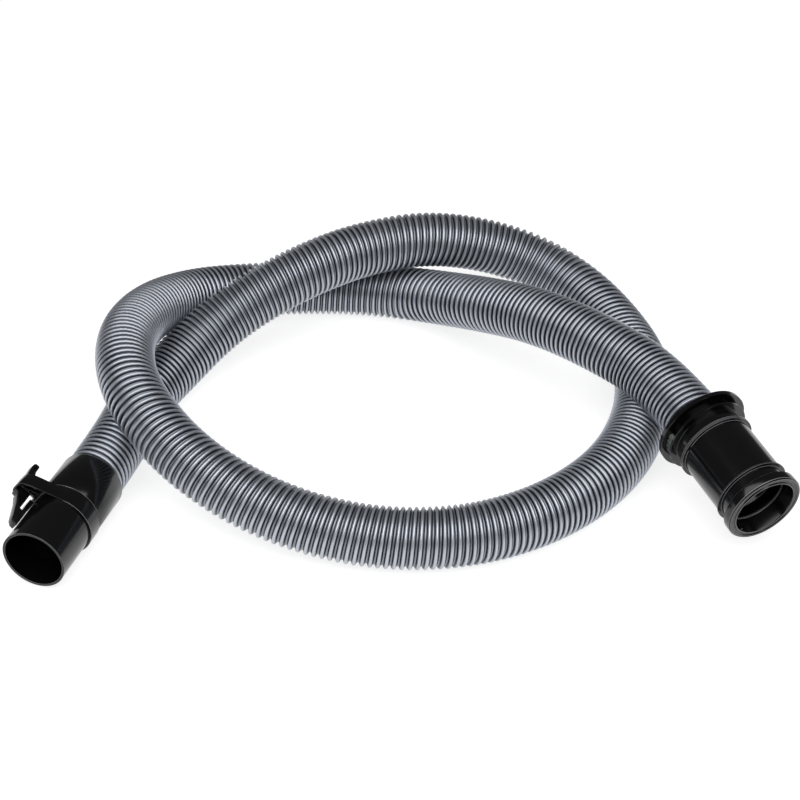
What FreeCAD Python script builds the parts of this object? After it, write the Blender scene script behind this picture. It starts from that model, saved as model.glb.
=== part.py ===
import FreeCAD, Part
import math
import os

# Vacuum hose lying in a loop: a ribbed hose, a wand cuff with a latch at one end
# and a swivelling machine connector with two release tabs at the other.
# Millimetres, +Z up. The origin is on the floor, midway between the two fittings.

V = FreeCAD.Vector

# Hose section
HOSE_OUTER = 40.0
HOSE_ROOT = 35.2
HOSE_BORE = 31.0
RIBS = 100
RIB_RISE = 0.24
BORE_RINGS = 72
FLAT = 0.5
BEND = 0.45

# Wand cuff, measured from its mouth towards the hose
CUFF_MOUTH = V(-228.6, -51.3, 22.4)
CUFF_TURN = 71.44
CUFF_LENGTH = 81.3
CUFF_OUTER = 42.0
CUFF_REAR = 43.2
CUFF_BORE = 38.6
CUFF_SOCKET_DEPTH = 46.0
CUFF_HOSE_STOP = 54.0
COLLAR_START = 34.5
COLLAR_END = 46.0
COLLAR_OUTER = 44.8
NOSE_WIDTH = 8.4
NOSE_WALL = 1.3

# Latch lever, in the plane that leans LATCH_LEAN above the cuff's side
LATCH_LEAN = 41.0
LATCH_WIDTH = 5.8
LATCH_SIDE_GAP = 0.6
LATCH_WALL = 1.3
PIVOT_S = 40.2
PIVOT_R = 29.8
PIN_RADIUS = 1.25
PIN_LENGTH = 10.4
PIN_GAP = 0.06
HOOK_S = 10.0
HOOK_GAP = 0.6

# Machine connector, measured from its mouth towards the hose
CONN_MOUTH = V(223.9, -24.7, 40.8)
CONN_TURN = 115.46
CONN_TILT = 9.0
CONN_LENGTH = 76.4
CONN_BORE = 40.8
CONN_NECK = 44.4
CONN_LIP = 51.8
CONN_BARREL = 47.2
FLANGE = 62.0
FLANGE_WIDTH = 3.0
FLANGE_START = CONN_LENGTH - FLANGE_WIDTH
THIN_RING = 55.8
THIN_RING_END = FLANGE_START - 4.6
THIN_RING_START = THIN_RING_END - 1.8
STEP_RING = 51.0
STEP_RING_WIDTH = 1.5
BARREL_START = 15.6
BARREL_END = THIN_RING_START - 10.7
REAR_NECK = 46.2
CHAMBER = 42.8
HOSE_END_S = FLANGE_START - 13.0
RUN_GAP = 0.08
END_GAP = 0.15
HOSE_PASS = 41.0

# Release tabs
TAB_TURN = -3.0
TAB_WIDTH = 15.0
TAB_OUTER = 27.4
TAB_INNER = 25.3
TAB_TRAVEL = 1.5
TAB_SIDE_GAP = 0.3

# Height of the hose's centreline where it lies on the floor, and the floor of the nose's pocket
REST = HOSE_OUTER / 2 - FLAT
POCKET_FLOOR = COLLAR_OUTER / 2 + 0.9

os.makedirs("parts", exist_ok=True)


def turned(degrees, tilt=0.0):
    """Unit vector in the plan direction given, rising by the tilt."""
    a = math.radians(degrees)
    t = math.radians(tilt)
    return V(math.cos(a) * math.cos(t), math.sin(a) * math.cos(t), math.sin(t))


def frame(origin, along, side):
    """Placement whose Z runs along and whose X points to the side."""
    z = V(along).normalize()
    x = V(side - z * side.dot(z)).normalize()
    y = z.cross(x)
    m = FreeCAD.Matrix(
        x.x, y.x, z.x, origin.x,
        x.y, y.y, z.y, origin.y,
        x.z, y.z, z.z, origin.z,
        0, 0, 0, 1,
    )
    return FreeCAD.Placement(m)


CUFF_AXIS = turned(CUFF_TURN)
CUFF = frame(CUFF_MOUTH, CUFF_AXIS, turned(CUFF_TURN + 90))
CONN_AXIS = turned(CONN_TURN, CONN_TILT)
CONN = frame(CONN_MOUTH, CONN_AXIS, turned(CONN_TURN + 90))


def revolve(points):
    """Solid of revolution about Z from (radius, height) points."""
    outline = [V(r, 0, s) for r, s in points]
    outline.append(outline[0])
    face = Part.Face(Part.makePolygon(outline))
    return face.revolve(V(0, 0, 0), V(0, 0, 1), 360)


def tube(outer, inner, start, end):
    """Plain ring between two heights, from its diameters."""
    body = Part.makeCylinder(outer / 2, end - start, V(0, 0, start))
    hole = Part.makeCylinder(inner / 2, end - start + 2, V(0, 0, start - 1))
    return body.cut(hole)


def slab(points, half_width):
    """Prism from (height, radius) points in the XZ plane, centred on Y."""
    outline = [V(r, -half_width, s) for s, r in points]
    outline.append(outline[0])
    face = Part.Face(Part.makePolygon(outline))
    return face.extrude(V(0, 2 * half_width, 0))


def leaned(shape, degrees):
    """Copy of a shape turned about Z."""
    copy = shape.copy()
    copy.rotate(V(0, 0, 0), V(0, 0, 1), degrees)
    return copy


def export(name, shape, placement=None):
    """Write one node, placed in the common frame."""
    out = shape.copy()
    if placement is not None:
        out.Placement = placement.multiply(out.Placement)
    solids = out.Solids
    if len(solids) != 1 or not out.isValid():
        raise ValueError("%s has %d solids, valid %s" % (name, len(solids), out.isValid()))
    solids[0].exportStep("parts/%s.step" % name)
    box = out.BoundBox
    print("%-20s %7.0f mm3  z %.2f to %.2f" % (name, out.Volume, box.ZMin, box.ZMax))
    return out


# Route of the hose: the loop, with three crossings where one strand rests on another
CUFF_EXIT = CUFF_MOUTH + CUFF_AXIS * CUFF_HOSE_STOP
CUFF_RUN = CUFF_MOUTH + CUFF_AXIS * (CUFF_HOSE_STOP + 66)
CONN_RUN = CONN_MOUTH + CONN_AXIS * (HOSE_END_S + 62)
CONN_EXIT = CONN_MOUTH + CONN_AXIS * HOSE_END_S

ROUTE = [
    CUFF_EXIT,
    CUFF_RUN,
    V(-181.0, 112.5, REST + 0.5),
    V(-159.5, 149.0, REST + 4),
    V(-133.5, 177.0, REST + 18),
    V(-99.5, 198.5, REST + 33),
    V(-63.5, 220.5, REST + 43),
    V(-27.5, 243.5, REST + 43.5),
    V(15.0, 257.0, REST + 44),
    V(59.5, 266.5, REST + 32.5),
    V(99.5, 264.0, REST + 19),
    V(133.0, 242.0, REST + 7),
    V(156.5, 203.5, REST),
    V(169.5, 154.0, REST),
    V(162.5, 95.0, REST),
    V(138.0, 39.5, REST),
    V(94.0, -3.5, REST),
    V(37.5, -28.0, REST),
    V(-25.5, -28.0, REST),
    V(-88.5, -11.5, REST + 9),
    V(-143.0, 19.5, REST + 27),
    V(-180.0, 67.5, REST + 43),
    V(-193.0, 124.5, REST + 43),
    V(-184.5, 181.0, REST + 31),
    V(-158.5, 226.0, REST + 15),
    V(-119.0, 251.0, REST + 2),
    V(-74.0, 257.0, REST),
    V(-30.5, 255.5, REST),
    V(7.5, 245.0, REST + 2),
    V(35.5, 219.0, REST + 14.5),
    V(60.5, 188.5, REST + 30),
    V(90.5, 159.5, REST + 41.5),
    V(126.5, 126.5, REST + 45),
    CONN_RUN,
    CONN_EXIT,
]


def path_pieces(points):
    """Straight runs and the tangent arcs that join them."""
    pieces = []
    start = points[0]
    for a, b, c in zip(points, points[1:], points[2:]):
        into = b - a
        away = c - b
        trim = BEND * min(into.Length, away.Length)
        turn = into.getAngle(away)
        radius = trim / math.tan(turn / 2)
        into = into.normalize()
        away = away.normalize()
        first = b - into * trim
        middle = b + (away - into).normalize() * math.hypot(radius, trim)
        pieces.append(("run", start, into, (first - start).Length))
        pieces.append(("arc", first, into, radius * turn, middle, radius))
        print("bend %2d  %5.1f degrees  radius %4.0f" % (len(pieces) // 2, math.degrees(turn), radius))
        start = b + away * trim
    last = points[-1] - start
    pieces.append(("run", start, V(last).normalize(), last.Length))
    return pieces


PIECES = path_pieces(ROUTE)
LENGTH = sum(piece[3] for piece in PIECES)


def on_path(distance):
    """Point and direction at a distance along the hose."""
    left = min(max(distance, 0.0), LENGTH)
    piece = PIECES[-1]
    for candidate in PIECES:
        if left <= candidate[3]:
            piece = candidate
            break
        left -= candidate[3]
    left = min(left, piece[3])
    if piece[0] == "run":
        return piece[1] + piece[2] * left, piece[2]
    first, into, middle, radius = piece[1], piece[2], piece[4], piece[5]
    angle = left / radius
    spoke = (first - middle) / radius
    point = middle + (spoke * math.cos(angle) + into * math.sin(angle)) * radius
    return point, into * math.cos(angle) - spoke * math.sin(angle)


def ring(distance, diameter):
    """Circle square to the hose, its X axis level all the way."""
    point, along = on_path(distance)
    circle = Part.Circle(point, along, diameter / 2)
    circle.XAxis = along.cross(V(0, 0, 1)).normalize()
    return Part.Wire([circle.toShape()])


def ribbed_hose():
    """Ruled loft through the ribs, less the bore, cut flat where it rests."""
    pitch = LENGTH / RIBS
    outside = []
    for rib in range(RIBS):
        start = rib * pitch
        outside.append(ring(start, HOSE_ROOT))
        outside.append(ring(start + RIB_RISE * pitch, HOSE_OUTER))
        outside.append(ring(start + (1 - RIB_RISE) * pitch, HOSE_OUTER))
    outside.append(ring(LENGTH, HOSE_ROOT))
    inside = [ring(LENGTH * i / BORE_RINGS, HOSE_BORE) for i in range(BORE_RINGS + 1)]
    body = Part.makeLoft(outside, True, True)
    bore = Part.makeLoft(inside, True, True)
    hose = body.cut(bore)
    floor = Part.makeBox(1000, 1000, 20, V(-500, -500, -20))
    return hose.cut(floor)


def check_route():
    """Least gap between strands, and the hose's true volume against its section."""
    step = 3.0
    samples = []
    count = int(LENGTH / step)
    for i in range(count + 1):
        samples.append(on_path(LENGTH * i / count)[0])
    least = None
    apart = int(3.5 * HOSE_OUTER / step)
    for i in range(len(samples)):
        for j in range(i + apart, len(samples)):
            gap = samples[i].distanceToPoint(samples[j]) - HOSE_OUTER
            if least is None or gap < least:
                least = gap
    print("hose length %.0f mm, least gap to itself %.2f mm" % (LENGTH, least))
    print("lowest centreline %.2f mm" % min(p.z for p in samples))


check_route()
hose = ribbed_hose()
export("hose_tube", hose)
pitch = LENGTH / RIBS
r_out = HOSE_OUTER / 2
r_root = HOSE_ROOT / 2
crest = (1 - 2 * RIB_RISE) * r_out ** 2
slopes = 2 * RIB_RISE * (r_out ** 2 + r_out * r_root + r_root ** 2) / 3
section = math.pi * (crest + slopes - (HOSE_BORE / 2) ** 2)
print("hose volume %.0f against section times length %.0f" % (hose.Volume, section * LENGTH))


# Wand cuff: socket for the wand in front, socket for the hose behind
def wand_cuff():
    r = CUFF_OUTER / 2
    bore = CUFF_BORE / 2
    rear = CUFF_REAR / 2
    seat = HOSE_OUTER / 2 + 0.25
    body = revolve([
        (bore + 0.5, 0),
        (r - 0.4, 0),
        (r, 0.4),
        (r, COLLAR_END + 2),
        (rear, CUFF_LENGTH - 1.2),
        (rear - 0.5, CUFF_LENGTH),
        (seat, CUFF_LENGTH),
        (seat, CUFF_HOSE_STOP),
        (HOSE_BORE / 2 + 1, CUFF_HOSE_STOP),
        (HOSE_BORE / 2 + 1, CUFF_HOSE_STOP - 3),
        (bore - 1.4, CUFF_SOCKET_DEPTH),
        (bore, CUFF_SOCKET_DEPTH),
        (bore, 0.5),
    ])
    return body


def cuff_inner_sleeve():
    r = HOSE_BORE / 2 - 0.2
    wall = 1.4
    stop = CUFF_HOSE_STOP
    return revolve([
        (r - wall, stop - 3),
        (HOSE_BORE / 2 + 1, stop - 3),
        (HOSE_BORE / 2 + 1, stop),
        (r, stop),
        (r, stop + 24),
        (r - 0.6, stop + 25),
        (r - wall, stop + 25),
    ])


# Latch collar with its hollow nose, which holds the lever's pivot
def prism(points, start, end):
    """Prism along Z from (radius, side) points in the nose's plane."""
    outline = [V(r, side, start) for r, side in points]
    outline.append(outline[0])
    return Part.Face(Part.makePolygon(outline)).extrude(V(0, 0, end - start))


def latch_collar():
    ring_body = tube(COLLAR_OUTER, CUFF_OUTER, COLLAR_START, COLLAR_END)
    start = COLLAR_START + 1.2
    end = start + NOSE_WIDTH
    tip = PIVOT_R + 5.8 + NOSE_WALL
    ring_r = COLLAR_OUTER / 2
    half = LATCH_WIDTH / 2 + LATCH_SIDE_GAP
    lip = PIVOT_R - 3.4
    nose = prism([
        (ring_r - 7.8, half + 13.4),
        (ring_r - 3.1, half + 12.6),
        (tip - 8.3, half + 8.1),
        (tip - 2.9, half + 5.1),
        (tip - 0.5, half + 2.3),
        (tip, half - 0.9),
        (tip, -half + 2.4),
        (tip - 0.5, -half - 0.2),
        (tip - 2.4, -half - 2.6),
        (tip - 5.0, -half - 3.1),
        (lip, -half - 3.1),
        (lip, -half),
        (ring_r - 7.8, -half),
    ], start, end)
    nose = nose.cut(Part.makeCylinder(CUFF_OUTER / 2, 60, V(0, 0, 0)))
    pocket = Part.makeBox(tip - NOSE_WALL - POCKET_FLOOR, 2 * half, 40, V(POCKET_FLOOR, -half, 20))
    web = half + NOSE_WALL
    outer_hollow = prism([
        (tip - 2.2, web),
        (tip - 2.2, half + 2.6),
        (tip - 3.6, half + 3.9),
        (tip - 4.2, half + 4.2),
        (tip - 4.2, web),
    ], start - 1, end - 1.6)
    inner_hollow = prism([
        (tip - 5.2, web),
        (tip - 5.2, half + 4.8),
        (tip - 8.7, half + 6.7),
        (ring_r + 0.4, half + 9.3),
        (ring_r + 1.9, web),
    ], start - 1, end - 1.6)
    pin = Part.makeCylinder(PIN_RADIUS, PIN_LENGTH, V(PIVOT_R, -PIN_LENGTH / 2, PIVOT_S), V(0, 1, 0))
    body = leaned(nose.cut(pocket).cut(outer_hollow).cut(inner_hollow).cut(pin), LATCH_LEAN)
    return ring_body.fuse(body).removeSplitter()


def latch_lever():
    """Arm that slopes from the pivot to the hook, slotted through, with a thumb tab behind."""
    surface = CUFF_OUTER / 2
    rise = PIVOT_R - surface
    seat = surface + HOOK_GAP

    def arm(share, above):
        return surface + share * rise + above

    tab = PIVOT_S + 17.0
    outer = [
        (tab, PIVOT_R + 5.4),
        (tab - 0.6, PIVOT_R + 6.3),
        (tab - 2.6, PIVOT_R + 6.6),
        (PIVOT_S + 8.0, PIVOT_R + 6.2),
        (PIVOT_S + 5.0, PIVOT_R + 4.9),
        (PIVOT_S + 2.5, PIVOT_R + 4.2),
        (PIVOT_S - 5.6, PIVOT_R + 3.9),
        (HOOK_S + 22.4, arm(1.0, 4.1)),
        (HOOK_S + 22.2, arm(1.0, 5.8)),
        (HOOK_S + 21.2, arm(1.0, 5.8)),
        (HOOK_S + 20.6, arm(1.0, 3.5)),
        (HOOK_S + 18.8, arm(1.0, 3.0)),
        (HOOK_S + 14.5, arm(0.8, 2.4)),
        (HOOK_S + 9.6, arm(0.6, 2.4)),
        (HOOK_S + 5.3, arm(0.5, 1.9)),
        (HOOK_S + 2.3, arm(0.4, 1.6)),
        (HOOK_S + 0.4, arm(0.2, 1.4)),
        (HOOK_S, seat),
    ]
    inner = [
        (COLLAR_START - 2.0, seat),
        (COLLAR_START - 2.0, arm(0.4, 0.0)),
        (COLLAR_START - 1.0, PIVOT_R - 3.0),
        (PIVOT_S + 2.4, PIVOT_R - 3.0),
        (PIVOT_S + 8.0, PIVOT_R + 0.9),
        (PIVOT_S + 12.0, PIVOT_R + 2.3),
        (tab - 1.2, PIVOT_R + 3.5),
    ]
    body = slab(outer + inner, LATCH_WIDTH / 2)
    window = slab([
        (HOOK_S + 11.8, arm(0.4, 0.0)),
        (COLLAR_START, arm(0.4, 0.0)),
        (COLLAR_START, arm(0.5, 1.2)),
        (HOOK_S + 21.0, arm(0.6, 1.5)),
        (HOOK_S + 12.0, arm(0.6, 1.2)),
    ], LATCH_WIDTH)
    channel = slab([
        (HOOK_S + 2.2, surface - 2),
        (HOOK_S + 2.2, arm(0.4, 0.0)),
        (HOOK_S + 10.6, arm(0.6, 0.6)),
        (HOOK_S + 10.6, surface - 2),
    ], LATCH_WIDTH / 2 - LATCH_WALL)
    spring_slot = slab([
        (PIVOT_S - 4, PIVOT_R - 6),
        (PIVOT_S - 4, PIVOT_R + 2.6),
        (PIVOT_S + 4, PIVOT_R + 2.6),
        (PIVOT_S + 4, PIVOT_R - 6),
    ], 1.7)
    hole = Part.makeCylinder(PIN_RADIUS + PIN_GAP, 20, V(PIVOT_R, -10, PIVOT_S), V(0, 1, 0))
    body = body.cut(channel).cut(window).cut(spring_slot).cut(hole)
    for back in (3.2, 5.0, 6.8):
        groove = Part.makeCylinder(0.45, 20, V(PIVOT_R + 6.75, -10, tab - back), V(0, 1, 0))
        body = body.cut(groove)
    return leaned(body, LATCH_LEAN)


def latch_pin():
    start = V(PIVOT_R, -PIN_LENGTH / 2, PIVOT_S)
    return leaned(Part.makeCylinder(PIN_RADIUS, PIN_LENGTH, start, V(0, 1, 0)), LATCH_LEAN)


def latch_spring():
    start = V(PIVOT_R, -1.4, PIVOT_S)
    coil = Part.makeCylinder(2.3, 2.8, start, V(0, 1, 0))
    hole = Part.makeCylinder(PIN_RADIUS + 0.3, 6, V(PIVOT_R, -3, PIVOT_S), V(0, 1, 0))
    leg = Part.makeBox(PIVOT_R - 1.2 - POCKET_FLOOR, 0.7, 0.7, V(POCKET_FLOOR, -1.4, PIVOT_S - 2.3))
    return leaned(coil.fuse(leg).cut(hole).removeSplitter(), LATCH_LEAN)


# Machine connector: lip, neck, barrel with a rib, step ring, thin ring and swivel chamber
def connector_body():
    lip = CONN_LIP / 2
    neck = CONN_NECK / 2
    bore = CONN_BORE / 2
    barrel = CONN_BARREL / 2
    step = STEP_RING / 2
    rear = REAR_NECK / 2
    thin = THIN_RING / 2
    chamber = CHAMBER / 2
    chamber_start = HOSE_END_S - 3 - END_GAP
    body = revolve([
        (bore + 0.8, 1.2),
        (bore + 2.0, 1.2),
        (bore + 2.4, 0),
        (lip - 1.6, 0),
        (lip - 0.4, 1.0),
        (lip, 2.6),
        (lip, 5.6),
        (lip - 0.8, 6.7),
        (neck, 7.6),
        (neck, BARREL_START),
        (barrel - 0.5, BARREL_START),
        (barrel, BARREL_START + 0.5),
        (barrel, BARREL_END),
        (step, BARREL_END),
        (step, BARREL_END + STEP_RING_WIDTH),
        (rear, BARREL_END + STEP_RING_WIDTH + 0.6),
        (rear, THIN_RING_START),
        (thin, THIN_RING_START + 0.3),
        (thin, THIN_RING_END),
        (rear, THIN_RING_END),
        (rear, FLANGE_START),
        (chamber, FLANGE_START),
        (chamber, chamber_start),
        (bore - 2.6, chamber_start),
        (bore - 2.6, 24.0),
        (bore, 21.0),
        (bore, 2.0),
    ])
    rib = Part.makeBox(2.4, 3.0, BARREL_END - BARREL_START - 1, V(barrel - 1.4, -1.5, BARREL_START + 0.8))
    rib = leaned(rib, 19.5)
    return body.fuse(rib).removeSplitter()


def rear_flange():
    outer = FLANGE / 2
    inner = HOSE_PASS / 2
    chamber = CHAMBER / 2 - 0.05
    body = revolve([
        (inner, FLANGE_START - 4.4),
        (chamber, FLANGE_START - 4.4),
        (chamber, FLANGE_START),
        (outer - 0.4, FLANGE_START),
        (outer, FLANGE_START + 0.5),
        (outer, CONN_LENGTH - 1.2),
        (outer - 1.2, CONN_LENGTH),
        (inner + 1.0, CONN_LENGTH),
        (inner, CONN_LENGTH - 1.0),
    ])
    return body


def retaining_ring():
    start = HOSE_END_S + END_GAP
    return tube(CHAMBER, HOSE_PASS, start, start + 2.2)


def hose_end_ring():
    r = HOSE_BORE / 2 - 0.2
    wall = 1.4
    end = HOSE_END_S
    flange = CHAMBER / 2 - RUN_GAP
    return revolve([
        (r - wall, end - 3),
        (flange, end - 3),
        (flange, end),
        (r, end),
        (r, end + 24),
        (r - 0.6, end + 25),
        (r - wall, end + 25),
    ])


def release_tab(angle):
    """Curved tab between the thin ring and the flange, free to move inwards."""
    start = THIN_RING_END + TAB_SIDE_GAP
    end = FLANGE_START - TAB_SIDE_GAP
    body = tube(2 * TAB_OUTER, 2 * TAB_INNER, start, end)
    keep = Part.makeBox(20, TAB_WIDTH, 20, V(15, -TAB_WIDTH / 2, start - 5))
    body = body.common(keep)
    grooves = []
    for offset in (-4.0, 0.0, 4.0):
        grooves.append(Part.makeBox(1.0, 1.2, 20, V(TAB_OUTER - 0.9, offset - 0.6, start - 5)))
    foot = Part.makeBox(1.9, 4.0, end - start, V(REAR_NECK / 2 + TAB_TRAVEL + 0.3, -2.0, start))
    body = body.fuse(foot).removeSplitter()
    return leaned(body.cut(grooves[0]).cut(grooves[1]).cut(grooves[2]), angle)


export("wand_cuff", wand_cuff(), CUFF)
export("cuff_inner_sleeve", cuff_inner_sleeve(), CUFF)
export("latch_collar", latch_collar(), CUFF)
export("latch_lever", latch_lever(), CUFF)
export("latch_pin", latch_pin(), CUFF)
export("latch_spring", latch_spring(), CUFF)
export("connector_body", connector_body(), CONN)
export("rear_flange", rear_flange(), CONN)
export("retaining_ring", retaining_ring(), CONN)
export("hose_end_ring", hose_end_ring(), CONN)
export("release_tab_left", release_tab(TAB_TURN), CONN)
export("release_tab_right", release_tab(TAB_TURN + 180), CONN)

pivot = CUFF.multVec(leaned(Part.Vertex(PIVOT_R, 0, PIVOT_S), LATCH_LEAN).Point)
lean = math.radians(LATCH_LEAN)
across = CUFF.Rotation.multVec(V(-math.sin(lean), math.cos(lean), 0))
print("latch pivot", pivot, "axis", across)
print("cuff mouth", CUFF_MOUTH, "axis", CUFF_AXIS)
print("connector mouth", CONN_MOUTH, "axis", CONN_AXIS, "flange", CONN_MOUTH + CONN_AXIS * CONN_LENGTH)
for side in (TAB_TURN, TAB_TURN + 180):
    a = math.radians(side)
    outward = CONN.Rotation.multVec(V(math.cos(a), math.sin(a), 0))
    middle = CONN.multVec(V(26 * math.cos(a), 26 * math.sin(a), (THIN_RING_END + FLANGE_START) / 2))
    print("release tab", middle, "inwards", outward * -1)
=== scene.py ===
"""Vacuum hose in a loop, with a wand cuff at one end and a machine connector at the other."""

import math
from bisect import bisect_right

import bpy
from mathutils import Matrix, Vector


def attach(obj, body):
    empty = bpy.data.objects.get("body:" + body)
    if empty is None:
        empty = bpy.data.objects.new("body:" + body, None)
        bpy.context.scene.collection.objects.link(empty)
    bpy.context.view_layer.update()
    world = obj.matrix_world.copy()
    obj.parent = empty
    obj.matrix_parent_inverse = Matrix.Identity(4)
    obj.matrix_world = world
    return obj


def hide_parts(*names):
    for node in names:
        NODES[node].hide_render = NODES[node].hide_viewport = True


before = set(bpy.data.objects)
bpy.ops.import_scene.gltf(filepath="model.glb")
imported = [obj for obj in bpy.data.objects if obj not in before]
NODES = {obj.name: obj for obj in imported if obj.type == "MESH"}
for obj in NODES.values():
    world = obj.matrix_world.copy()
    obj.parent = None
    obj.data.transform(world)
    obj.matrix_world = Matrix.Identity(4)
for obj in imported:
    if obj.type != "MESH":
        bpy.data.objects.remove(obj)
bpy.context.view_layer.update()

bl_info = {
    "name": "Vacuum hose",
    "version": (1, 0, 0),
    "blender": (4, 5, 0),
    "location": "View3D > Sidebar > Hose",
    "description": "Builds a ribbed vacuum hose with cuff and connector round the packed frame",
    "category": "Object",
}

# Lengths are in metres, apart from the profiles, outlines, spans, blocks and edges of the
# fittings, which are in millimetres and are divided by this
MM = 1000


def heading(turn, tilt=0.0):
    """Direction at a turn from the X axis and a tilt up from the floor."""
    level = math.cos(tilt)
    return Vector((math.cos(turn) * level, math.sin(turn) * level, math.sin(tilt)))


# Each fitting's mouth, the way its axis points from there, and how far along the axis the hose
# ends in the fitting and starts to bend behind it
CUFF_MOUTH = Vector((-0.2286, -0.0513, 0.0224))
CUFF_AXIS = heading(math.radians(71.44))
CUFF_SEAT = 0.054
CUFF_STRAIGHT = 0.120
CUFF_EXIT = CUFF_MOUTH + CUFF_AXIS * CUFF_SEAT
CONNECTOR_MOUTH = Vector((0.2239, -0.0247, 0.0408))
CONNECTOR_AXIS = heading(math.radians(115.46), math.radians(9))
CONNECTOR_SEAT = 0.0604
CONNECTOR_STRAIGHT = 0.1224

# Turn round its fitting's axis of the latch, of the rib on the barrel and of the key in the mouth
LATCH_LEAN = math.radians(41)
RIB_LEAN = math.radians(19.5)
KEY_LEAN = math.radians(310)

# Height of the hose's middle where it lies on the floor and its ribs are pressed flat by 0.5 mm
REST = 0.0195

# Points that the hose bends round: across, away and lifted over its rest
BENDS = [
    (-0.1820, 0.1135, 0.0005),
    (-0.1610, 0.1510, 0.0040),
    (-0.1350, 0.1795, 0.0180),
    (-0.1005, 0.2010, 0.0330),
    (-0.0635, 0.2205, 0.0430),
    (-0.0275, 0.2435, 0.0435),
    (0.0150, 0.2570, 0.0440),
    (0.0595, 0.2665, 0.0325),
    (0.0995, 0.2640, 0.0190),
    (0.1330, 0.2420, 0.0070),
    (0.1565, 0.2035, 0.0),
    (0.1695, 0.1540, 0.0),
    (0.1625, 0.0950, 0.0),
    (0.1380, 0.0395, 0.0),
    (0.0940, -0.0035, 0.0),
    (0.0375, -0.0280, 0.0),
    (-0.0255, -0.0280, 0.0),
    (-0.0885, -0.0115, 0.0090),
    (-0.1430, 0.0195, 0.0270),
    (-0.1800, 0.0675, 0.0430),
    (-0.1918, 0.1245, 0.0430),
    (-0.1828, 0.1795, 0.0310),
    (-0.1570, 0.2235, 0.0150),
    (-0.1190, 0.2510, 0.0020),
    (-0.0740, 0.2570, 0.0),
    (-0.0305, 0.2555, 0.0),
    (0.0075, 0.2450, 0.0020),
    (0.0355, 0.2190, 0.0145),
    (0.0605, 0.1885, 0.0300),
    (0.0905, 0.1595, 0.0415),
    (0.1265, 0.1265, 0.0450),
]
ROUTE = [
    CUFF_EXIT,
    CUFF_MOUTH + CUFF_AXIS * CUFF_STRAIGHT,
    *(Vector((across, away, REST + lift)) for across, away, lift in BENDS),
    CONNECTOR_MOUTH + CONNECTOR_AXIS * CONNECTOR_STRAIGHT,
    CONNECTOR_MOUTH + CONNECTOR_AXIS * CONNECTOR_SEAT,
]

# Pieces that the curve between two points of the route is cut into
ROUTE_STEPS = 24

# Distance along the hose, and how far apart the ribs lie there: stretched over the loop's front
# and left, pressed together in its back right
RIB_SPACING = [
    (0.00, 0.0046),
    (0.12, 0.0047),
    (0.20, 0.0042),
    (0.28, 0.0042),
    (0.35, 0.0047),
    (0.42, 0.0047),
    (0.48, 0.0050),
    (0.56, 0.0050),
    (0.64, 0.0045),
    (0.70, 0.0041),
    (0.82, 0.0041),
    (0.88, 0.0046),
    (0.96, 0.0050),
    (1.06, 0.0045),
    (1.12, 0.0047),
    (1.20, 0.0044),
    (1.24, 0.0039),
    (1.28, 0.0048),
    (1.38, 0.0044),
    (1.45, 0.0060),
    (1.49, 0.0053),
    (1.56, 0.0039),
    (1.64, 0.0039),
    (1.74, 0.0042),
]

# Rows along one rib at the open pitch: distance from its crest, and the share of its height. One
# more row lies down in the groove before it
OPEN_PITCH = 0.0048
RIB_PROFILE = [
    (-0.00180, 0.03),
    (-0.00125, 0.55),
    (-0.00065, 0.90),
    (0.00000, 1.00),
    (0.00065, 0.90),
    (0.00125, 0.55),
    (0.00180, 0.03),
]
ROWS_PER_RIB = len(RIB_PROFILE) + 1

# Two ribs wind round the hose side by side, so one turn moves on by two pitches
STARTS = 2

# Share of a rib's height at which the hose's plastic colours the bore, low enough to paint the
# bore with the dark groove colour as painted shade
BORE_SHADE = 0.3

# Turned profiles, as radius and distance from the mouth, each closed on itself
CUFF_PROFILE = [
    (19.3, 0.0),
    (21.0, 0.0),
    (21.0, 34.0),
    (20.9, 46.1),
    (20.5, 46.3),
    (20.5, 47.3),
    (21.6, 47.8),
    (21.7, 64.0),
    (21.6, 80.3),
    (21.1, 81.3),
    (20.25, 81.3),
    (20.25, 54.0),
    (16.5, 54.0),
    (16.5, 51.0),
    (17.9, 46.0),
    (19.3, 46.0),
]
COLLAR_PROFILE = [
    (20.6, 34.5),
    (22.4, 34.5),
    (22.4, 46.0),
    (20.6, 46.0),
]
CONNECTOR_PROFILE = [
    (20.4, 1.0),
    (20.9, 0.2),
    (21.5, 0.2),
    (22.0, 1.4),
    (23.3, 1.4),
    (23.8, 0.3),
    (24.9, 0.3),
    (25.9, 1.3),
    (25.9, 6.9),
    (22.2, 6.9),
    (22.2, 15.6),
    (24.8, 15.6),
    (24.8, 16.6),
    (23.6, 16.8),
    (23.6, 56.2),
    (25.8, 56.3),
    (25.8, 57.1),
    (25.0, 57.2),
    (25.0, 57.6),
    (25.8, 57.7),
    (25.8, 58.5),
    (23.1, 58.8),
    (23.1, 67.2),
    (27.9, 67.3),
    (27.9, 68.7),
    (23.1, 68.8),
    (23.1, 73.4),
    (21.4, 73.4),
    (21.4, 57.25),
    (17.8, 57.25),
    (17.8, 24.0),
    (20.4, 21.0),
    (20.4, 13.2),
    (19.9, 13.0),
    (19.9, 12.2),
    (20.4, 12.0),
]
FLANGE_PROFILE = [
    (20.5, 69.2),
    (21.35, 69.2),
    (21.35, 73.4),
    (31.0, 73.4),
    (31.0, 76.4),
    (20.5, 76.4),
]

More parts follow.
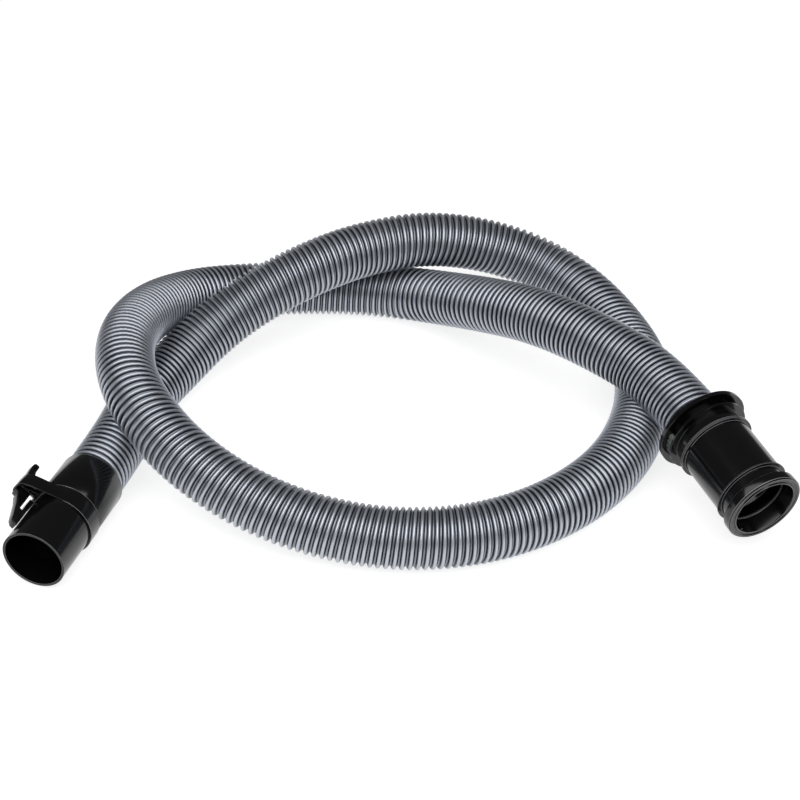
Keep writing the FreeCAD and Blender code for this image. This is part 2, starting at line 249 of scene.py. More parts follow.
# Outlines across the latch housing, as height over the cuff's middle and distance aside, and the
# span of each from the mouth
NOSE_OUTLINE = [
    (7.5, 17.5),
    (8.6, 20.65),
    (11.2, 19.55),
    (14.9, 17.85),
    (19.2, 15.85),
    (23.8, 13.75),
    (28.6, 11.6),
    (31.4, 10.2),
    (34.0, 8.4),
    (35.6, 6.9),
    (36.5, 5.2),
    (36.9, 3.0),
    (36.9, -1.1),
    (36.5, -3.3),
    (35.4, -5.2),
    (33.9, -6.3),
    (31.9, -6.6),
    (26.4, -6.6),
    (26.4, -3.5),
    (14.6, -3.5),
]
NOSE_SPAN = (34.5, 44.1)
NOSE_HOLLOWS = [
    [(34.7, 4.8), (34.7, 6.1), (33.3, 7.4), (32.7, 7.7), (32.7, 4.8)],
    [(31.7, 4.8), (31.7, 8.3), (28.2, 10.2), (22.8, 12.8), (24.3, 4.8)],
]
HOLLOW_SPAN = (33.0, 42.5)
NOSE_WEB = [(22.2, 8.9), (22.2, 9.7), (32.2, 4.9), (32.2, 4.1)]
WEB_SPAN = (34.5, 43.0)

# Two corners of the lever's pocket, and the radius and length of the room for the cuff
POCKET = ((23.3, -3.5, 20), (35.6, 3.5, 60))
CUFF_ROOM = 21.1
CUFF_ROOM_LENGTH = 200

# Blocks on the lever and on the connector: name, two corners as height, distance aside and
# distance from the mouth, width of the roundings, and turn round the fitting
LEVER_BLOCKS = [
    ("lever_web", (26.2, -2.2, 21.4), (27.9, 2.2, 36.5), 0.3, LATCH_LEAN),
    ("thumb_pad", (31.9, -2.9, 51.0), (36.0, 2.9, 58.4), 1.2, LATCH_LEAN),
]
CONNECTOR_BLOCKS = [
    ("barrel_rib", (22.4, -1.4, 16.4), (24.6, 1.4, 56.6), 0.5, RIB_LEAN),
    ("mouth_key", (19.4, -0.8, 1.6), (20.8, 0.8, 9.0), 0.3, KEY_LEAN),
]

# Width of the flats or roundings along each piece's edges
CUFF_EDGE = 0.1
COLLAR_EDGE = 0.22
NOSE_EDGE = 0.3
LEVER_EDGE = 0.22
CONNECTOR_EDGE = 0.22
FLANGE_EDGE = 0.25
TAB_EDGE = 0.2

# How far from the mouth the connector's edges get a painted highlight, a pale line along them
CONNECTOR_HIGHLIGHT_REACH = 60

# Faces round a turned fitting
TURNED_SIDES = 96

# Side of the small primitive that a slab or a block is grown from: one millimetre, so that a block
# is resized by its own sides
SEED = 1 / MM

# A turned profile's corner gets a flat where it turns by more than this
CORNER_ANGLE = math.radians(40)

# How near the middles of a face and a flat lie where they are the same
FLAT_REACH = 0.00006

# A piece's edge is rounded where it turns by more than this, in so many steps
EDGE_ANGLE = math.radians(30)
EDGE_STEPS = 2

# An edge that turns by less than this is shaded smooth
SMOOTH_ANGLE = math.radians(34)

# In a copy of a node, corners nearer than this are one, and faces flatter than this are joined
MERGE_GAP = 0.000005
JOIN_ANGLE = math.radians(2)

# Roughness of each plastic where it is neither cloudy nor scuffed
PLASTIC_ROUGHNESS = {
    "gloss_black_plastic": 0.13,
    "rubbed_edge_plastic": 0.3,
    "tab_grey_plastic": 0.3,
    "undyed_plastic": 0.35,
}

# Colour of the thin dust on the hose
DUST = (0.42, 0.42, 0.43)

# White of the floor's own light and of the light from all round
WHITE = (1, 1, 1, 1)

# How much of the floor's white is its own for the camera and for reflections
FLOOR_GLOW = 0.78

# The floor, the lamp, the light from all round, and the camera with its sensor in millimetres
FLOOR_SIZE = 30
FLOOR_MIDDLE = (0, 0.5, 0)
LAMP_PLACE = (0.0, -0.55, 1.25)
LAMP_AIM = (0, 0.12, 0.03)
LAMP_WIDTH = 2.6
LAMP_DEPTH = 1.3
LAMP_WATTS = 26
WORLD_STRENGTH = 0.10
CAMERA_PLACE = (-0.003, -0.8763, 0.7673)
CAMERA_PITCH = math.radians(53)
SENSOR_WIDTH = 36


class HoseSettings(bpy.types.PropertyGroup):
    """Section and colours of the hose"""

    outer: bpy.props.FloatProperty(
        name="Outer diameter", description="Across the crests of the ribs",
        default=0.040, min=0.02, max=0.08, unit="LENGTH")
    root: bpy.props.FloatProperty(
        name="Root diameter", description="Across the grooves between the ribs",
        default=0.0352, min=0.015, max=0.08, unit="LENGTH")
    bore: bpy.props.FloatProperty(
        name="Bore", description="Inner diameter of the hose",
        default=0.031, min=0.01, max=0.07, unit="LENGTH")
    sides: bpy.props.IntProperty(
        name="Sides", description="Faces round one rib", default=30, min=12, max=64)
    colour: bpy.props.FloatVectorProperty(
        name="Hose colour", description="Silver grey of the ribs", subtype="COLOR",
        default=(0.51, 0.54, 0.60), min=0, max=1)
    # Painted shade: the dark grey painted on the ribs' sides, in the grooves and over the bore
    groove_shade: bpy.props.FloatVectorProperty(
        name="Groove colour", description="Darker grey down in the grooves", subtype="COLOR",
        default=(0.010, 0.014, 0.024), min=0, max=1)


class FittingSettings(bpy.types.PropertyGroup):
    """Colours of the cuff, the connector and what they hold"""

    black: bpy.props.FloatVectorProperty(
        name="Fitting colour", description="Gloss black of the cuff and the connector",
        subtype="COLOR", default=(0.0025, 0.0025, 0.003), min=0, max=1)
    grey: bpy.props.FloatVectorProperty(
        name="Tab colour", description="Grey of the two release tabs",
        subtype="COLOR", default=(0.10, 0.115, 0.105), min=0, max=1)
    # Painted highlight: the paler black painted along edges where light catches them
    rubbed: bpy.props.FloatVectorProperty(
        name="Rubbed edge colour", description="Paler black where edges are rubbed",
        subtype="COLOR", default=(0.16, 0.16, 0.165), min=0, max=1)
    natural: bpy.props.FloatVectorProperty(
        name="Sleeve colour", description="Undyed plastic of the hidden sleeves",
        subtype="COLOR", default=(0.55, 0.54, 0.50), min=0, max=1)
    steel: bpy.props.FloatVectorProperty(
        name="Steel colour", description="Latch pin and spring",
        subtype="COLOR", default=(0.55, 0.56, 0.57), min=0, max=1)


class StageSettings(bpy.types.PropertyGroup):
    """Floor, lens and light of the picture"""

    floor: bpy.props.FloatVectorProperty(
        name="Floor colour", description="Plain floor that the hose lies on",
        subtype="COLOR", default=(0.50, 0.50, 0.50), min=0, max=1)
    lens: bpy.props.FloatProperty(
        name="Lens", description="Focal length of the camera in millimetres",
        default=81.0, min=20, max=300)
    light: bpy.props.FloatProperty(
        name="Light", description="Strength of the lamp, as a share of its usual power",
        default=1.0, min=0.1, max=5)


class Wire:
    """A shader socket that takes part in Python arithmetic."""

    def __init__(self, finish, socket):
        self.finish = finish
        self.socket = socket

    def maths(self, operation, first, second):
        return self.finish.node(
            "ShaderNodeMath", settings={"operation": operation}, sockets={0: first, 1: second})

    def __add__(self, other):
        return self.maths("ADD", self, other)

    __radd__ = __add__

    def __sub__(self, other):
        return self.maths("SUBTRACT", self, other)

    def __rsub__(self, other):
        return self.maths("SUBTRACT", other, self)

    def __mul__(self, other):
        return self.maths("MULTIPLY", self, other)

    __rmul__ = __mul__


class Finish:
    """A material and the few calls that build its nodes."""

    def __init__(self, name, **shader):
        self.material = bpy.data.materials.new(name)
        self.material.use_nodes = True
        self.tree = self.material.node_tree
        self.shader = self.tree.nodes["Principled BSDF"]
        for socket, value in shader.items():
            self.shader.inputs[socket.replace("_", " ")].default_value = value

    def feed(self, socket, value):
        if isinstance(value, Wire):
            self.tree.links.new(value.socket, socket)
        else:
            socket.default_value = value

    def node(self, kind, output=0, settings=None, sockets=None):
        """Adds a node, sets its settings first and then its sockets, and returns one output."""
        node = self.tree.nodes.new(kind)
        for name, value in (settings or {}).items():
            setattr(node, name, value)
        for socket, value in (sockets or {}).items():
            self.feed(node.inputs[socket], value)
        return Wire(self, node.outputs[output])

    def noise(self, scale, detail=2.0, rough=0.5):
        """Noise fixed to the piece's own place."""
        place = self.node("ShaderNodeTexCoord", "Object")
        return self.node("ShaderNodeTexNoise", "Fac", sockets={
            "Vector": place, "Scale": scale, "Detail": detail, "Roughness": rough})

    def ramp(self, value, low, high):
        """Value stretched so that low gives 0 and high gives 1, and held there."""
        return self.node("ShaderNodeMapRange", "Result", sockets={
            "Value": value, "From Min": low, "From Max": high})

    def blend(self, share, first, second):
        """One colour changed to another by a share, on the Mix node's colour sockets."""
        return self.node("ShaderNodeMix", 2, {"data_type": "RGBA"}, {
            "Factor": share, 6: rgba(first), 7: rgba(second)})

    def bump(self, height, depth, strength):
        """Relief of a depth in metres."""
        normal = self.node("ShaderNodeBump", sockets={
            "Height": height, "Distance": depth, "Strength": strength})
        self.feed(self.shader.inputs["Normal"], normal)

    def colour(self, value):
        self.feed(self.shader.inputs["Base Color"], rgba(value))

    def roughness(self, value):
        self.feed(self.shader.inputs["Roughness"], value)


def rgba(colour):
    """Colour with an alpha of one, or the wire as it is."""
    if isinstance(colour, Wire):
        return colour
    return (*tuple(colour)[:3], 1.0)


def hose_plastic(settings):
    """Silver on the crests, with painted shade dark on the ribs' sides and less of it, paler
    again, along the grooves' floor.
    """
    finish = Finish("satin_silver_plastic", Metallic=0.75)
    height = finish.node("ShaderNodeAttribute", "Fac", {"attribute_name": "rib_height"})
    cloud = finish.noise(scale=45.0, detail=3.0)
    grain = finish.noise(scale=2600.0)
    # Painted shade: below the crests the ribs' sides take the dark groove colour, and so does the
    # bore
    crest = finish.ramp(height + (cloud - 0.5) * 0.1, low=0.46, high=0.90)
    # The grooves' floor is lifted back towards silver, so the painted shade is lighter there
    floor = finish.ramp(height, low=0.10, high=0.0)
    grey = finish.blend(crest, settings.groove_shade, settings.colour)
    painted_shade = finish.blend(floor * 0.55, grey, settings.colour)
    dusty = finish.ramp(cloud, low=0.35, high=0.75) * 0.06
    finish.colour(finish.blend(dusty, painted_shade, DUST))
    finish.roughness(0.34 + cloud * 0.06 + grain * 0.05)
    finish.bump(grain, depth=0.00003, strength=0.4)
    return finish.material


def gloss_plastic(name, colour):
    """Moulded plastic, faintly cloudy and with fine scuffs."""
    finish = Finish(name, IOR=1.5, Specular_IOR_Level=0.46)
    cloud = finish.noise(scale=30.0, detail=4.0)
    fine = finish.noise(scale=900.0)
    scuffs = finish.ramp(finish.noise(scale=160.0, detail=6.0, rough=0.7), low=0.58, high=0.78)
    pale = [c * 1.6 + 0.001 for c in colour]
    finish.colour(finish.blend(cloud * 0.35 + scuffs * 0.2, colour, pale))
    finish.roughness(PLASTIC_ROUGHNESS[name] + cloud * 0.05 + scuffs * 0.07)
    finish.bump(fine * 0.3 + cloud, depth=0.00004, strength=0.35)
    return finish.material


def steel_finish(colour):
    """Wire steel with fine drawing marks."""
    finish = Finish("drawn_steel", Metallic=1.0)
    streaks = finish.noise(scale=700.0, detail=3.0)
    finish.colour(finish.blend(streaks, colour, [c * 0.8 for c in colour]))
    finish.roughness(0.2 + streaks * 0.15)
    finish.bump(streaks, depth=0.00002, strength=0.3)
    return finish.material


def material(name, maker, *values):
    """The material of that name, made the first time it is asked for."""
    return bpy.data.materials.get(name) or maker(*values)


def plastic(name, colour):
    return material(name, gloss_plastic, name, colour)


def black_finishes(settings):
    """Gloss black for the surfaces of a fitting, and a paler painted highlight for its edges."""
    return [
        plastic("gloss_black_plastic", settings.black),
        plastic("rubbed_edge_plastic", settings.rubbed),
    ]


def dress(node, finish):
    """Gives a node of the frame its finish."""
    materials = NODES[node].data.materials
    materials.clear()
    materials.append(finish)


def spline_points(points, resolution):
    """Points along the smooth curve that the route's points control."""
    curve = bpy.data.curves.new("hose_line", "CURVE")
    curve.dimensions = "3D"
    curve.resolution_u = resolution
    spline = curve.splines.new("NURBS")
    spline.points.add(len(points) - 1)
    for control, point in zip(spline.points, points):
        control.co = (*point, 1.0)
    spline.order_u = 3
    spline.use_endpoint_u = True
    line = bpy.data.objects.new("hose_line", curve)
    bpy.context.scene.collection.objects.link(line)
    bpy.context.view_layer.update()
    mesh = bpy.data.meshes.new_from_object(line)
    found = [v.co.copy() for v in mesh.vertices]
    bpy.data.objects.remove(line)
    bpy.data.meshes.remove(mesh)
    return found


class Line:
    """A polyline measured along its length."""

    def __init__(self, points):
        self.points = points
        self.reached = [0.0]
        for a, b in zip(points, points[1:]):
            self.reached.append(self.reached[-1] + (b - a).length)
        self.length = self.reached[-1]
        self.tangents = []
        for i in range(len(points)):
            ahead = points[min(i + 1, len(points) - 1)]
            behind = points[max(i - 1, 0)]
            self.tangents.append((ahead - behind).normalized())

    def at(self, distance):
        """Point and direction at a distance from the start."""
        i = min(max(bisect_right(self.reached, distance) - 1, 0), len(self.points) - 2)
        span = self.reached[i + 1] - self.reached[i]
        share = min(max((distance - self.reached[i]) / span, 0.0), 1.0)
        point = self.points[i].lerp(self.points[i + 1], share)
        return point, self.tangents[i].lerp(self.tangents[i + 1], share).normalized()


def spacing(distance):
    """Pitch of the ribs at a distance along the hose, eased between the rows of the table."""
    for (near, first), (far, second) in zip(RIB_SPACING, RIB_SPACING[1:]):
        if distance <= far:
            share = (distance - near) / (far - near)
            return first + (second - first) * share * share * (3 - 2 * share)
    return RIB_SPACING[-1][1]


def groove_places(length):
    """Middle of each groove from one end of the hose to the other."""
    places = [0.0]
    while places[-1] < length:
        middle = places[-1] + spacing(places[-1]) / 2
        places.append(places[-1] + spacing(min(middle, length)))
    stretch = length / places[-1]
    return [place * stretch for place in places]


def around(line, distance, radius, angle):
    """Point at an angle round the hose, which stays on the floor where it rests."""
    point, direction = line.at(distance)
    level = direction.cross(Vector((0, 0, 1))).normalized()
    up = level.cross(direction)
    place = point + level * (radius * math.cos(angle)) + up * (radius * math.sin(angle))
    place.z = max(place.z, 0.0)
    return place


def rib_row(grooves, turn, row, side, sides):
    """Distance and share of height of one point of the winding ribs."""
    wound = turn + STARTS * side / sides
    rib = int(wound)
    share = wound - rib
    start, end = grooves[rib], grooves[rib + 1]
    beyond = grooves[rib + 2] if rib + 2 < len(grooves) else 2 * end - start
    start, end = start + (end - start) * share, end + (beyond - end) * share
    if row == 0:
        return start, 0.0
    along, high = RIB_PROFILE[row - 1]
    squeeze = min((end - start) / OPEN_PITCH, 1.0)
    return (start + end) / 2 + along * squeeze, high


def ribbed_tube(line, settings):
    """Mesh of the hose: two ribs wound round it, a plain bore, and closed ends."""
    outer = settings.outer / 2
    root = settings.root / 2
    bore = settings.bore / 2
    sides = settings.sides
    grooves = groove_places(line.length)
    turns = len(grooves) - 1 - STARTS
    turns -= turns % STARTS
    last = turns * ROWS_PER_RIB
    seam = STARTS * ROWS_PER_RIB
    vertices = []
    heights = []
    for index in range(last + 1):
        turn, row = divmod(index, ROWS_PER_RIB)
        for side in range(sides):
            distance, high = rib_row(grooves, turn, row, side, sides)
            radius = root + (outer - root) * high
            vertices.append(around(line, distance, radius, 2 * math.pi * side / sides))
            heights.append(high)
    inside = len(vertices)
    bore_rows = last // seam
    for index in range(bore_rows + 1):
        for side in range(sides):
            distance, _ = rib_row(grooves, index * STARTS, 0, side, sides)
            vertices.append(around(line, distance, bore, 2 * math.pi * side / sides))
            heights.append(BORE_SHADE)

    def outside_at(index, side):
        return (index + seam) * sides if side == sides else index * sides + side

    def inside_at(index, side):
        return inside + ((index + 1) * sides if side == sides else index * sides + side)

    faces = []
    for index in range(last):
        for side in range(sides if index < last - seam else sides - 1):
            faces.append((outside_at(index, side), outside_at(index + 1, side),
                          outside_at(index + 1, side + 1), outside_at(index, side + 1)))
    for index in range(bore_rows):
        for side in range(sides if index < bore_rows - 1 else sides - 1):
            faces.append((inside_at(index, side + 1), inside_at(index + 1, side + 1),
                          inside_at(index + 1, side), inside_at(index, side)))

    # Each end is a wall from outside to bore, with a step where the winding starts or stops
    for side in range(sides):
        faces.append((outside_at(0, side + 1), inside_at(0, side + 1),
                      inside_at(0, side), outside_at(0, side)))
    for side in range(sides - 1):
        faces.append((outside_at(last, side), inside_at(bore_rows, side),
                      inside_at(bore_rows, side + 1), outside_at(last, side + 1)))
    first_step = [outside_at(index, 0) for index in range(seam, -1, -1)]
    faces.append((*first_step, inside_at(0, 0), inside_at(1, 0)))
    last_step = [outside_at(index, sides - 1) for index in range(last - seam, last + 1)]
    faces.append((*last_step, inside_at(bore_rows, sides - 1),
                  inside_at(bore_rows - 1, sides - 1)))
    faces.append((outside_at(last - seam, sides - 1), inside_at(bore_rows - 1, sides - 1),
                  inside_at(bore_rows, 0), outside_at(last, 0)))
    mesh = bpy.data.meshes.new("ribbed_hose")
    mesh.from_pydata(vertices, [], faces)
    mesh.attributes.new("rib_height", "FLOAT", "POINT").data.foreach_set("value", heights)
    mesh.polygons.foreach_set("use_smooth", [True] * len(faces))
    mesh.update()
    return mesh


class HOSE_OT_ribbed_hose(bpy.types.Operator):
    """Lay the ribbed hose along its route"""

    bl_idname = "hose.ribbed_hose"
    bl_label = "Ribbed hose"

    def execute(self, context):
        settings = context.scene.hose_settings
        line = Line(spline_points(ROUTE, ROUTE_STEPS))
        hose = bpy.data.objects.new("ribbed_hose", ribbed_tube(line, settings))
        context.scene.collection.objects.link(hose)
        hose.data.materials.append(material("satin_silver_plastic", hose_plastic, settings))
        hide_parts("hose_tube")
        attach(hose, "hose")
        return {"FINISHED"}


def pick(piece=None):
    """Makes a piece the only one that is selected, or selects none."""
    bpy.ops.object.select_all(action="DESELECT")
    if piece:
        bpy.context.view_layer.objects.active = piece
        piece.select_set(True)


def edit_all():
    bpy.ops.object.mode_set(mode="EDIT")
    bpy.ops.mesh.select_all(action="SELECT")


def placing(mouth, axis, lean=0.0):
    """Matrix that lays a piece built up the Z axis along a fitting."""
    level = Vector((0, 0, 1)).cross(axis).normalized()
    up = axis.cross(level)
    basis = Matrix((level, up, axis)).transposed().to_4x4()
    return Matrix.Translation(mouth) @ basis @ Matrix.Rotation(lean, 4, "Z")


def eased(profile, cut):
    """Closed profile with a flat across each of its corners, and the flats' middles.

    A flat takes no more than a third of a side.
    """
    points = [Vector(point) / MM for point in profile]
    out = []
    flats = []
    for i, corner in enumerate(points):
        before = points[i - 1] - corner
        after = points[(i + 1) % len(points)] - corner
        if before.angle(-after) < CORNER_ANGLE:
            out.append(corner)
            continue
        for side in (before, after):
            out.append(corner + side.normalized() * min(cut / MM, side.length / 3))
        flats.append((out[-1] + out[-2]) / 2)
    return out, flats


def turned_piece(name, profile, cut, rubbed=math.inf):
    """Ring grown from a circle round a closed profile, with a painted highlight on its flats up to
    a distance.
    """
    rings, flats = eased(profile, cut)
    flats = [flat for flat in flats if flat.y < rubbed / MM]
    pick()
    bpy.ops.mesh.primitive_circle_add(
        vertices=TURNED_SIDES, radius=rings[0][0], location=(0, 0, rings[0][1]))
    piece = bpy.context.active_object
    piece.name = name
    edit_all()
    for (radius, place), (next_radius, next_place) in zip(rings, rings[1:]):
        bpy.ops.mesh.extrude_edges_indiv()
        bpy.ops.transform.translate(value=(0, 0, next_place - place))
        grow = next_radius / radius
        bpy.ops.transform.resize(value=(grow, grow, 1), center_override=(0, 0, next_place))
    bpy.ops.object.mode_set(mode="OBJECT")
    # The first ring is selected beside the last one, and a bridge closes the profile
    for vertex in piece.data.vertices[:TURNED_SIDES]:
        vertex.select = True
    bpy.ops.object.mode_set(mode="EDIT")
    bpy.ops.mesh.bridge_edge_loops()
    bpy.ops.mesh.select_all(action="SELECT")
    bpy.ops.mesh.normals_make_consistent(inside=False)
    bpy.ops.object.mode_set(mode="OBJECT")
    # Flats within reach take the second material, the painted edge highlight
    place = piece.location.z
    for face in piece.data.polygons:
        middle = Vector((face.center.xy.length, face.center.z + place))
        if any((middle - flat).length < FLAT_REACH for flat in flats):
            face.material_index = 1
    return piece


def slab(name, outline, start, end):
    """Flat-sided piece drawn point by point as an outline, then pulled up."""
    first = outline[0]
    pick()
    bpy.ops.mesh.primitive_plane_add(
        size=SEED, location=(first[0] / MM, first[1] / MM, start / MM))
    piece = bpy.context.active_object
    piece.name = name
    edit_all()
    bpy.ops.mesh.merge(type="CENTER")
    for a, b in zip(outline, outline[1:]):
        bpy.ops.mesh.extrude_verts_indiv()
        bpy.ops.transform.translate(value=((b[0] - a[0]) / MM, (b[1] - a[1]) / MM, 0))
    bpy.ops.mesh.select_all(action="SELECT")
    bpy.ops.mesh.edge_face_add()
    bpy.ops.mesh.extrude_region_move(TRANSFORM_OT_translate={"value": (0, 0, (end - start) / MM)})
    bpy.ops.mesh.select_all(action="SELECT")
    bpy.ops.mesh.normals_make_consistent(inside=False)
    bpy.ops.object.mode_set(mode="OBJECT")
    return piece


def block(name, low, high):
    """Box between two corners."""
    pick()
    middle = [(a + b) / 2 / MM for a, b in zip(low, high)]
    bpy.ops.mesh.primitive_cube_add(size=SEED, location=middle)
    bpy.ops.transform.resize(value=[b - a for a, b in zip(low, high)])
    bpy.ops.object.transform_apply(location=True, rotation=True, scale=True)
    piece = bpy.context.active_object
    piece.name = name
    return piece


def apply_last(piece):
    """Applies the modifier that a piece got last."""
    pick(piece)
    bpy.ops.object.modifier_apply(modifier=piece.modifiers[-1].name)


def carve(piece, other, operation):
    """Cuts another piece out of this one, or joins it on, and removes it."""
    change = piece.modifiers.new("carve", "BOOLEAN")
    change.operation = operation
    change.solver = "EXACT"
    change.object = other
    apply_last(piece)
    bpy.data.objects.remove(other)


def soften(piece, width):
    """Rounds the sharp edges of a piece and gives the roundings the piece's second material, which
    on the black pieces is a painted edge highlight.
    """
    edges = piece.modifiers.new("edges", "BEVEL")
    edges.limit_method = "ANGLE"
    edges.angle_limit = EDGE_ANGLE
    edges.width = width / MM
    edges.segments = EDGE_STEPS
    edges.material = 1
    apply_last(piece)


def set_down(piece, place):
    """Lays a piece in its place, with its place in its mesh, and shades it."""
    pick(piece)
    bpy.ops.object.transform_apply(location=True, rotation=True, scale=True)
    piece.matrix_world = place
    bpy.ops.object.transform_apply(location=True, rotation=True, scale=True)
    bpy.ops.object.shade_smooth_by_angle(angle=SMOOTH_ANGLE)


def stand_in(piece, node, body, finishes):
    """Says which node a piece replaces, what it rides on and what it is made of."""
    for finish in finishes:
        piece.data.materials.append(finish)
    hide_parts(node)
    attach(piece, body)


def softened_copy(name, node, width):
    """Copy of a node with its triangles merged and its edges rounded."""
    piece = NODES[node].copy()
    piece.data = NODES[node].data.copy()
    piece.name = name
    bpy.context.scene.collection.objects.link(piece)
    piece.data.materials.clear()
    pick(piece)
    edit_all()
    bpy.ops.mesh.remove_doubles(threshold=MERGE_GAP)
    bpy.ops.mesh.dissolve_limited(angle_limit=JOIN_ANGLE)
    bpy.ops.object.mode_set(mode="OBJECT")
    soften(piece, width)
    bpy.ops.object.shade_smooth_by_angle(angle=SMOOTH_ANGLE)
    return piece


def add_blocks(blocks, mouth, axis, node, body, finishes):
    """Softened blocks on a fitting, which help to replace one of its nodes."""
    for name, low, high, width, lean in blocks:
        piece = block(name, low, high)
        soften(piece, width)
        set_down(piece, placing(mouth, axis, lean))
        stand_in(piece, node, body, finishes)


def latch_nose():
    """Hollow nose of the latch housing, cut to the cuff it sits on."""
    nose = slab("nose", NOSE_OUTLINE, *NOSE_SPAN)
    carve(nose, block("pocket", *POCKET), "DIFFERENCE")
    for outline in NOSE_HOLLOWS:
        carve(nose, slab("hollow", outline, *HOLLOW_SPAN), "DIFFERENCE")
    soften(nose, NOSE_EDGE)
    pick()
    bpy.ops.mesh.primitive_cylinder_add(
        vertices=TURNED_SIDES, radius=CUFF_ROOM / MM, depth=CUFF_ROOM_LENGTH / MM)
    carve(nose, bpy.context.active_object, "DIFFERENCE")
    return nose


class HOSE_OT_cuff(bpy.types.Operator):
    """Turn the wand cuff and build its latch housing and lever"""

    bl_idname = "hose.cuff"
    bl_label = "Wand cuff and latch"

    def execute(self, context):
        black = black_finishes(context.scene.fitting_settings)
        cuff = turned_piece("cuff_shell", CUFF_PROFILE, CUFF_EDGE)
        set_down(cuff, placing(CUFF_MOUTH, CUFF_AXIS))
        stand_in(cuff, "wand_cuff", "hose", black)
        leaned = placing(CUFF_MOUTH, CUFF_AXIS, LATCH_LEAN)
        nose = latch_nose()
        housing = turned_piece("latch_housing", COLLAR_PROFILE, COLLAR_EDGE)
        carve(housing, nose, "UNION")
        set_down(housing, leaned)
        stand_in(housing, "latch_collar", "hose", black)
        web = slab("nose_web", NOSE_WEB, *WEB_SPAN)
        soften(web, NOSE_EDGE)
        set_down(web, leaned)
        stand_in(web, "latch_collar", "hose", black)
        lever = softened_copy("lever", "latch_lever", LEVER_EDGE)
        stand_in(lever, "latch_lever", "latch", black)
        add_blocks(LEVER_BLOCKS, CUFF_MOUTH, CUFF_AXIS, "latch_lever", "latch", black)
        return {"FINISHED"}


class HOSE_OT_connector(bpy.types.Operator):
    """Turn the machine connector and its flange, and soften its release tabs"""

    bl_idname = "hose.connector"
    bl_label = "Machine connector"

    def execute(self, context):
        settings = context.scene.fitting_settings
        black = black_finishes(settings)
        grey = [plastic("tab_grey_plastic", settings.grey)] * 2
        place = placing(CONNECTOR_MOUTH, CONNECTOR_AXIS)
        shell = turned_piece(
            "connector_shell", CONNECTOR_PROFILE, CONNECTOR_EDGE, CONNECTOR_HIGHLIGHT_REACH)
        set_down(shell, place)
        stand_in(shell, "connector_body", "connector", black)
        add_blocks(CONNECTOR_BLOCKS, CONNECTOR_MOUTH, CONNECTOR_AXIS,
                   "connector_body", "connector", black)
        flange = turned_piece("flange", FLANGE_PROFILE, FLANGE_EDGE, rubbed=0)
        set_down(flange, place)
        stand_in(flange, "rear_flange", "connector", black[:1])
        for side in ("left", "right"):
            tab = softened_copy("tab_" + side, "release_tab_" + side, TAB_EDGE)
            stand_in(tab, "release_tab_" + side, "tab_" + side, grey)
        return {"FINISHED"}


class HOSE_OT_inner_parts(bpy.types.Operator):
    """Finish the sleeves, the rings, the pin and the spring inside the fittings"""

    bl_idname = "hose.inner_parts"
    bl_label = "Inner parts"

    def execute(self, context):
        settings = context.scene.fitting_settings
        natural = plastic("undyed_plastic", settings.natural)
        steel = material("drawn_steel", steel_finish, settings.steel)
        for node in ("cuff_inner_sleeve", "hose_end_ring", "retaining_ring"):
            dress(node, natural)
        for node in ("latch_pin", "latch_spring"):
            dress(node, steel)
        return {"FINISHED"}


def floor_material(colour):
    """Plain floor that takes shadows and shines white to the camera and in reflections."""
    finish = Finish("plain_floor", Roughness=0.9, Specular_IOR_Level=0.0)
    finish.colour(colour)
    seen, mirrored, through = (
        finish.node("ShaderNodeLightPath", "Is " + kind + " Ray")
        for kind in ("Camera", "Glossy", "Transmission"))
    glow = finish.node("ShaderNodeEmission", sockets={
        "Color": WHITE, "Strength": (seen + mirrored + through) * FLOOR_GLOW})
    both = finish.node("ShaderNodeAddShader", sockets={
        0: Wire(finish, finish.shader.outputs[0]), 1: glow})
    finish.feed(finish.tree.nodes["Material Output"].inputs["Surface"], both)
    return finish.material


def softbox(name, place, aim, width, height, power):
    """Rectangular lamp at a place, turned towards a point."""
    lamp = bpy.data.lights.new(name, "AREA")
    lamp.shape = "RECTANGLE"
    lamp.size = width
    lamp.size_y = height
    lamp.energy = power
    box = bpy.data.objects.new(name, lamp)
    bpy.context.scene.collection.objects.link(box)
    look = (Vector(aim) - Vector(place)).to_track_quat("-Z", "Y")
    box.matrix_world = Matrix.Translation(place) @ look.to_matrix().to_4x4()


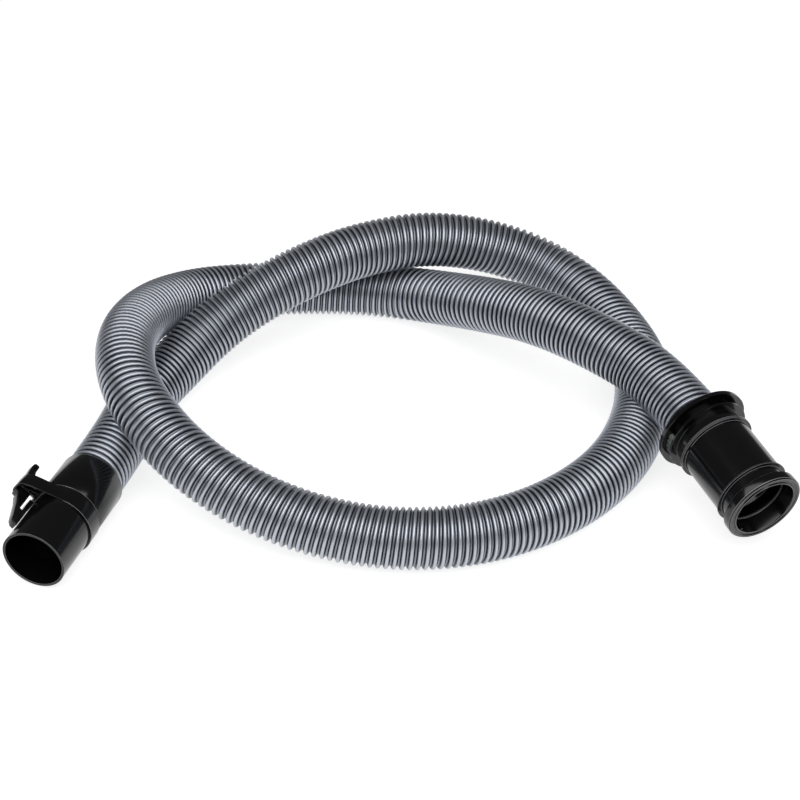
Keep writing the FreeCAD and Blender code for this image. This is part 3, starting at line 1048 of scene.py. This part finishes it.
class HOSE_OT_stage(bpy.types.Operator):
    """Set the floor, the lamp and the camera"""

    bl_idname = "hose.stage"
    bl_label = "Stage"

    def execute(self, context):
        settings = context.scene.stage_settings
        pick()
        bpy.ops.mesh.primitive_plane_add(size=FLOOR_SIZE, location=FLOOR_MIDDLE)
        floor = context.active_object
        floor.name = "floor"
        floor.data.materials.append(floor_material(settings.floor))
        softbox("overhead_softbox", LAMP_PLACE, LAMP_AIM, LAMP_WIDTH, LAMP_DEPTH,
                LAMP_WATTS * settings.light)
        world = bpy.data.worlds.new("studio")
        world.use_nodes = True
        background = world.node_tree.nodes["Background"]
        background.inputs["Color"].default_value = WHITE
        background.inputs["Strength"].default_value = WORLD_STRENGTH
        context.scene.world = world
        lens = bpy.data.cameras.new("camera")
        lens.sensor_width = SENSOR_WIDTH
        lens.lens = settings.lens
        camera = bpy.data.objects.new("camera", lens)
        context.scene.collection.objects.link(camera)
        camera.location = CAMERA_PLACE
        camera.rotation_euler = (CAMERA_PITCH, 0, 0)
        context.scene.camera = camera
        context.scene.view_settings.view_transform = "Standard"
        return {"FINISHED"}


class HOSE_PT_panel(bpy.types.Panel):
    """Steps that build the hose, and their sizes and colours"""

    bl_idname = "HOSE_PT_panel"
    bl_label = "Vacuum hose"
    bl_space_type = "VIEW_3D"
    bl_region_type = "UI"
    bl_category = "Hose"

    def draw(self, context):
        for step in STEPS:
            self.layout.operator(step.bl_idname)
        for group in ("hose_settings", "fitting_settings", "stage_settings"):
            box = self.layout.box()
            values = getattr(context.scene, group)
            for name in values.__annotations__:
                box.prop(values, name)


STEPS = [HOSE_OT_ribbed_hose, HOSE_OT_cuff, HOSE_OT_connector, HOSE_OT_inner_parts, HOSE_OT_stage]
GROUPS = [HoseSettings, FittingSettings, StageSettings]


def register():
    for item in [*GROUPS, *STEPS, HOSE_PT_panel]:
        bpy.utils.register_class(item)
    bpy.types.Scene.hose_settings = bpy.props.PointerProperty(type=HoseSettings)
    bpy.types.Scene.fitting_settings = bpy.props.PointerProperty(type=FittingSettings)
    bpy.types.Scene.stage_settings = bpy.props.PointerProperty(type=StageSettings)


def unregister():
    del bpy.types.Scene.stage_settings
    del bpy.types.Scene.fitting_settings
    del bpy.types.Scene.hose_settings
    for item in reversed([*GROUPS, *STEPS, HOSE_PT_panel]):
        bpy.utils.unregister_class(item)


def main():
    register()
    bpy.ops.hose.stage()
    bpy.ops.hose.ribbed_hose()
    bpy.ops.hose.cuff()
    bpy.ops.hose.connector()
    bpy.ops.hose.inner_parts()


if __name__ == "__main__":
    main()
